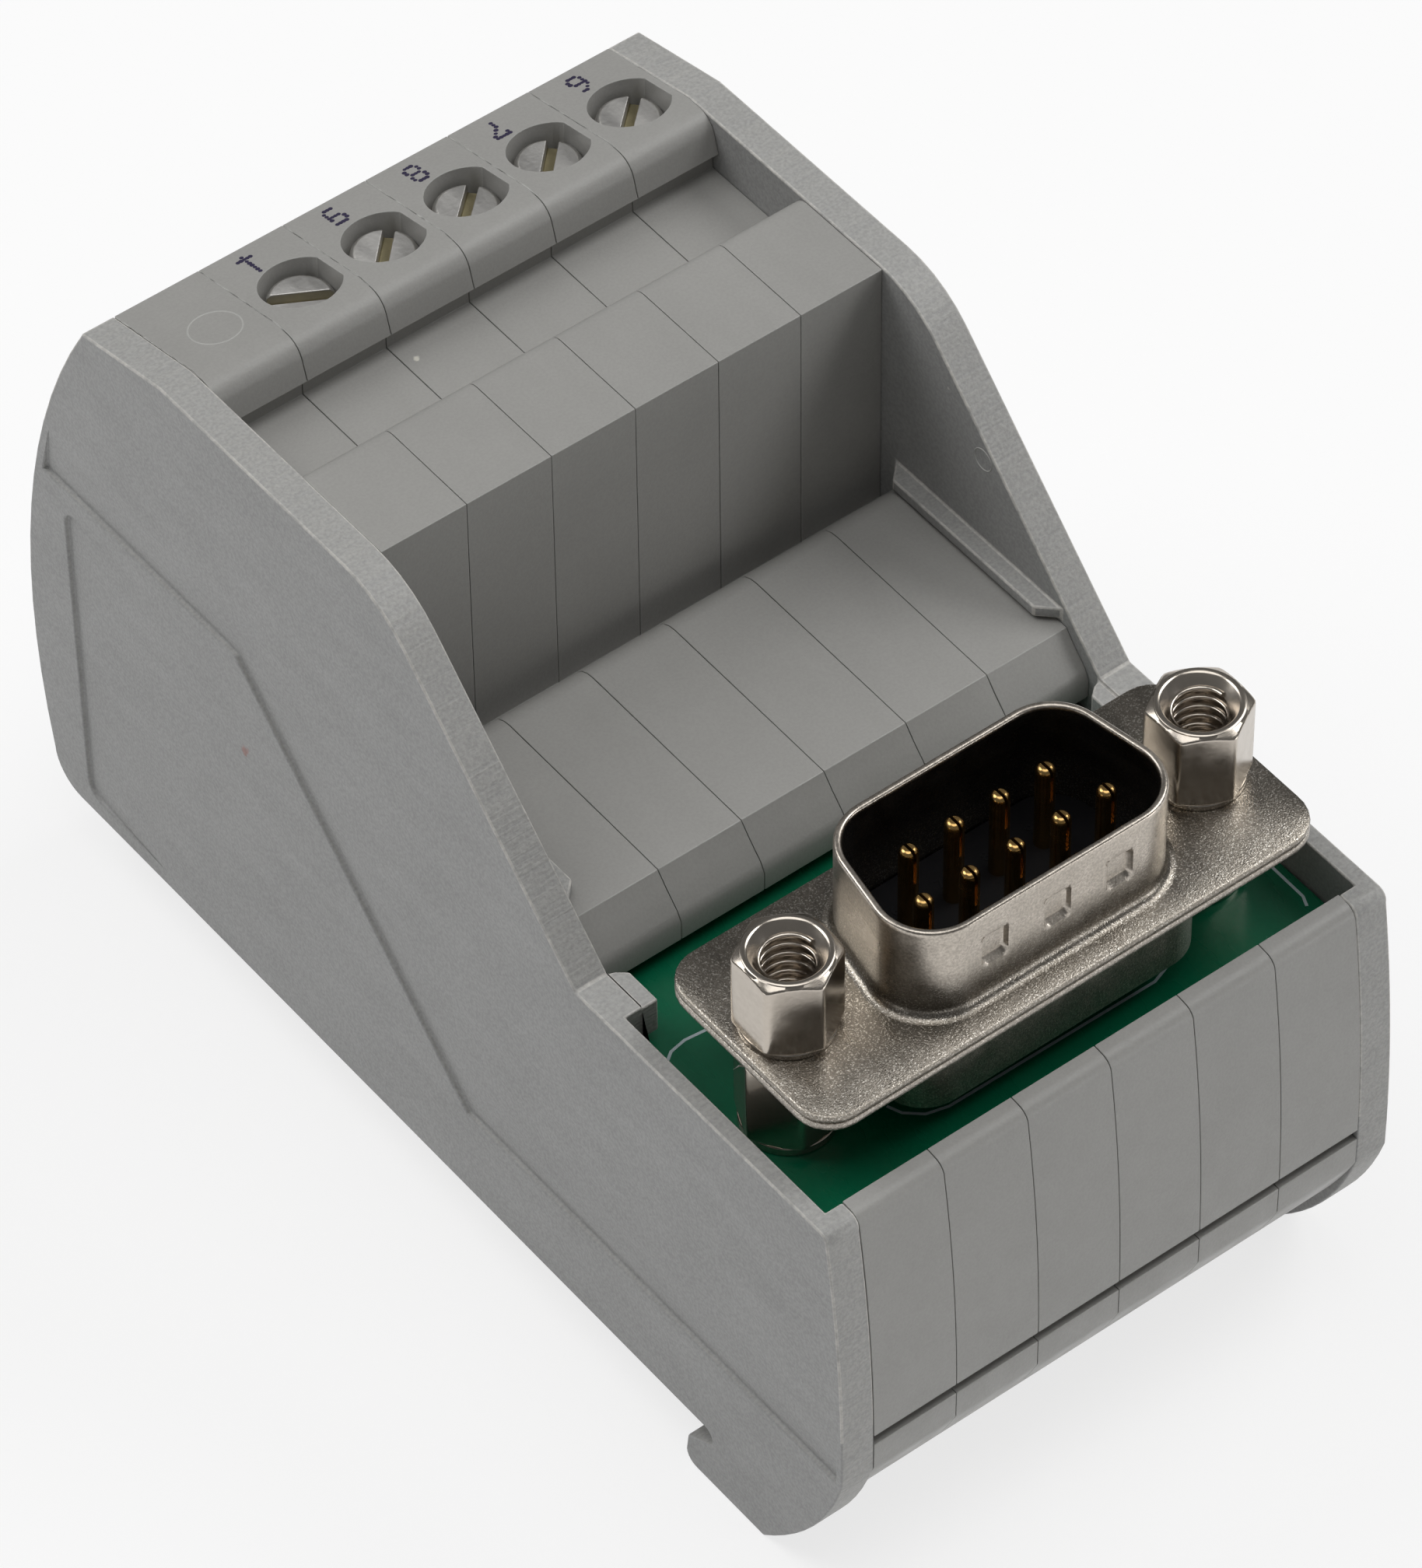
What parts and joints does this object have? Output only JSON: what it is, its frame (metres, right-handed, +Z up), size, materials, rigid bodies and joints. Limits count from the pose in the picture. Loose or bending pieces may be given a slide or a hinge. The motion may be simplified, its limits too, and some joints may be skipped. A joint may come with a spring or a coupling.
{
  "type": "d-sub terminal block adapter",
  "caption": "Rail-mounted adapter from a nine-pole D-subminiature plug to two tiers of screw terminals, in a housing of stacked slices between two side plates.",
  "frame": {"origin": "middle of the box at the bottom, on the surface that the hooks' soles stand on", "axes": "+X to the right along the row of slices, +Y from the plug to the wire entries, +Z up"},
  "size_m": [0.0344, 0.0666, 0.043],
  "materials": {
    "plate_grey": "fine grained moulded plastic",
    "housing_grey": "moulded plastic, satin",
    "latch_grey": "moulded plastic",
    "board_green": "glass-fibre board with green solder mask",
    "nickel": "nickel-plated steel and brass",
    "black_plastic": "glass-filled plastic",
    "gold": "gold-plated contact",
    "zinc": "zinc-plated steel",
    "clamp_metal": "tin-plated brass"
  },
  "bodies": {
    "housing": {"left_side_plate": "plate_grey", "right_side_plate": "plate_grey", "housing_slice_1": "housing_grey", "housing_slice_2": "housing_grey", "housing_slice_3": "housing_grey", "housing_slice_4": "housing_grey", "housing_slice_5": "housing_grey", "housing_slice_6": "housing_grey", "circuit_board": "board_green", "connector_front_shell": "nickel", "connector_rear_shell": "nickel", "connector_insulator": "black_plastic", "contact_1": "gold", "contact_2": "gold", "contact_3": "gold", "contact_4": "gold", "contact_5": "gold", "contact_6": "gold", "contact_7": "gold", "contact_8": "gold", "contact_9": "gold", "jackscrew_left": "nickel", "jackscrew_right": "nickel", "standoff_left": "nickel", "standoff_right": "nickel", "upper_bar_2": "clamp_metal", "upper_bar_3": "clamp_metal", "upper_bar_4": "clamp_metal", "upper_bar_5": "clamp_metal", "upper_bar_6": "clamp_metal", "lower_bar_2": "clamp_metal", "lower_bar_3": "clamp_metal", "lower_bar_4": "clamp_metal", "lower_bar_5": "clamp_metal", "lower_bar_6": "clamp_metal"},
    "rail_latch": {"rail_latch": "latch_grey"},
    "upper_screw_2": {"upper_screw_2": "zinc"},
    "upper_cage_2": {"upper_cage_2": "clamp_metal"},
    "upper_screw_3": {"upper_screw_3": "zinc"},
    "upper_cage_3": {"upper_cage_3": "clamp_metal"},
    "upper_screw_4": {"upper_screw_4": "zinc"},
    "upper_cage_4": {"upper_cage_4": "clamp_metal"},
    "upper_screw_5": {"upper_screw_5": "zinc"},
    "upper_cage_5": {"upper_cage_5": "clamp_metal"},
    "upper_screw_6": {"upper_screw_6": "zinc"},
    "upper_cage_6": {"upper_cage_6": "clamp_metal"},
    "lower_screw_2": {"lower_screw_2": "zinc"},
    "lower_cage_2": {"lower_cage_2": "clamp_metal"},
    "lower_screw_3": {"lower_screw_3": "zinc"},
    "lower_cage_3": {"lower_cage_3": "clamp_metal"},
    "lower_screw_4": {"lower_screw_4": "zinc"},
    "lower_cage_4": {"lower_cage_4": "clamp_metal"},
    "lower_screw_5": {"lower_screw_5": "zinc"},
    "lower_cage_5": {"lower_cage_5": "clamp_metal"},
    "lower_screw_6": {"lower_screw_6": "zinc"},
    "lower_cage_6": {"lower_cage_6": "clamp_metal"}
  },
  "joints": [
    {"name": "latch_slide", "type": "slide", "parent": "housing", "child": "rail_latch", "axis": [0, 1, 0], "range_m": [0, 0.0025], "stiffness_N_per_m": 400, "springref_m": -0.001},
    {"name": "upper_screw_2_turn", "type": "hinge", "parent": "housing", "child": "upper_screw_2", "pos_m": [-0.00733, 0.02155, 0.04161], "axis": [0, 0, -1], "range_deg": [0, 1761]},
    {"name": "upper_cage_2_lift", "type": "slide", "parent": "housing", "child": "upper_cage_2", "axis": [0, 0, 1], "range_m": [0, 0.0022]},
    {"name": "upper_screw_3_turn", "type": "hinge", "parent": "housing", "child": "upper_screw_3", "pos_m": [-0.00225, 0.02155, 0.04161], "axis": [0, 0, -1], "range_deg": [0, 1761]},
    {"name": "upper_cage_3_lift", "type": "slide", "parent": "housing", "child": "upper_cage_3", "axis": [0, 0, 1], "range_m": [0, 0.0022]},
    {"name": "upper_screw_4_turn", "type": "hinge", "parent": "housing", "child": "upper_screw_4", "pos_m": [0.00283, 0.02155, 0.04161], "axis": [0, 0, -1], "range_deg": [0, 1761]},
    {"name": "upper_cage_4_lift", "type": "slide", "parent": "housing", "child": "upper_cage_4", "axis": [0, 0, 1], "range_m": [0, 0.0022]},
    {"name": "upper_screw_5_turn", "type": "hinge", "parent": "housing", "child": "upper_screw_5", "pos_m": [0.00791, 0.02155, 0.04161], "axis": [0, 0, -1], "range_deg": [0, 1761]},
    {"name": "upper_cage_5_lift", "type": "slide", "parent": "housing", "child": "upper_cage_5", "axis": [0, 0, 1], "range_m": [0, 0.0022]},
    {"name": "upper_screw_6_turn", "type": "hinge", "parent": "housing", "child": "upper_screw_6", "pos_m": [0.01299, 0.02155, 0.04161], "axis": [0, 0, -1], "range_deg": [0, 1761]},
    {"name": "upper_cage_6_lift", "type": "slide", "parent": "housing", "child": "upper_cage_6", "axis": [0, 0, 1], "range_m": [0, 0.0022]},
    {"name": "lower_screw_2_turn", "type": "hinge", "parent": "housing", "child": "lower_screw_2", "pos_m": [-0.00733, 0.02895, 0.02705], "axis": [0, 0, -1], "range_deg": [0, 1761]},
    {"name": "lower_cage_2_lift", "type": "slide", "parent": "housing", "child": "lower_cage_2", "axis": [0, 0, 1], "range_m": [0, 0.0022]},
    {"name": "lower_screw_3_turn", "type": "hinge", "parent": "housing", "child": "lower_screw_3", "pos_m": [-0.00225, 0.02895, 0.02705], "axis": [0, 0, -1], "range_deg": [0, 1761]},
    {"name": "lower_cage_3_lift", "type": "slide", "parent": "housing", "child": "lower_cage_3", "axis": [0, 0, 1], "range_m": [0, 0.0022]},
    {"name": "lower_screw_4_turn", "type": "hinge", "parent": "housing", "child": "lower_screw_4", "pos_m": [0.00283, 0.02895, 0.02705], "axis": [0, 0, -1], "range_deg": [0, 1761]},
    {"name": "lower_cage_4_lift", "type": "slide", "parent": "housing", "child": "lower_cage_4", "axis": [0, 0, 1], "range_m": [0, 0.0022]},
    {"name": "lower_screw_5_turn", "type": "hinge", "parent": "housing", "child": "lower_screw_5", "pos_m": [0.00791, 0.02895, 0.02705], "axis": [0, 0, -1], "range_deg": [0, 1761]},
    {"name": "lower_cage_5_lift", "type": "slide", "parent": "housing", "child": "lower_cage_5", "axis": [0, 0, 1], "range_m": [0, 0.0022]},
    {"name": "lower_screw_6_turn", "type": "hinge", "parent": "housing", "child": "lower_screw_6", "pos_m": [0.01299, 0.02895, 0.02705], "axis": [0, 0, -1], "range_deg": [0, 1761]},
    {"name": "lower_cage_6_lift", "type": "slide", "parent": "housing", "child": "lower_cage_6", "axis": [0, 0, 1], "range_m": [0, 0.0022]}
  ],
  "couplings": [
    {"joint": "upper_screw_2_turn", "follows": "upper_cage_2_lift", "rad_per_m": 13963},
    {"joint": "upper_screw_3_turn", "follows": "upper_cage_3_lift", "rad_per_m": 13963},
    {"joint": "upper_screw_4_turn", "follows": "upper_cage_4_lift", "rad_per_m": 13963},
    {"joint": "upper_screw_5_turn", "follows": "upper_cage_5_lift", "rad_per_m": 13963},
    {"joint": "upper_screw_6_turn", "follows": "upper_cage_6_lift", "rad_per_m": 13963},
    {"joint": "lower_screw_2_turn", "follows": "lower_cage_2_lift", "rad_per_m": 13963},
    {"joint": "lower_screw_3_turn", "follows": "lower_cage_3_lift", "rad_per_m": 13963},
    {"joint": "lower_screw_4_turn", "follows": "lower_cage_4_lift", "rad_per_m": 13963},
    {"joint": "lower_screw_5_turn", "follows": "lower_cage_5_lift", "rad_per_m": 13963},
    {"joint": "lower_screw_6_turn", "follows": "lower_cage_6_lift", "rad_per_m": 13963}
  ]
}
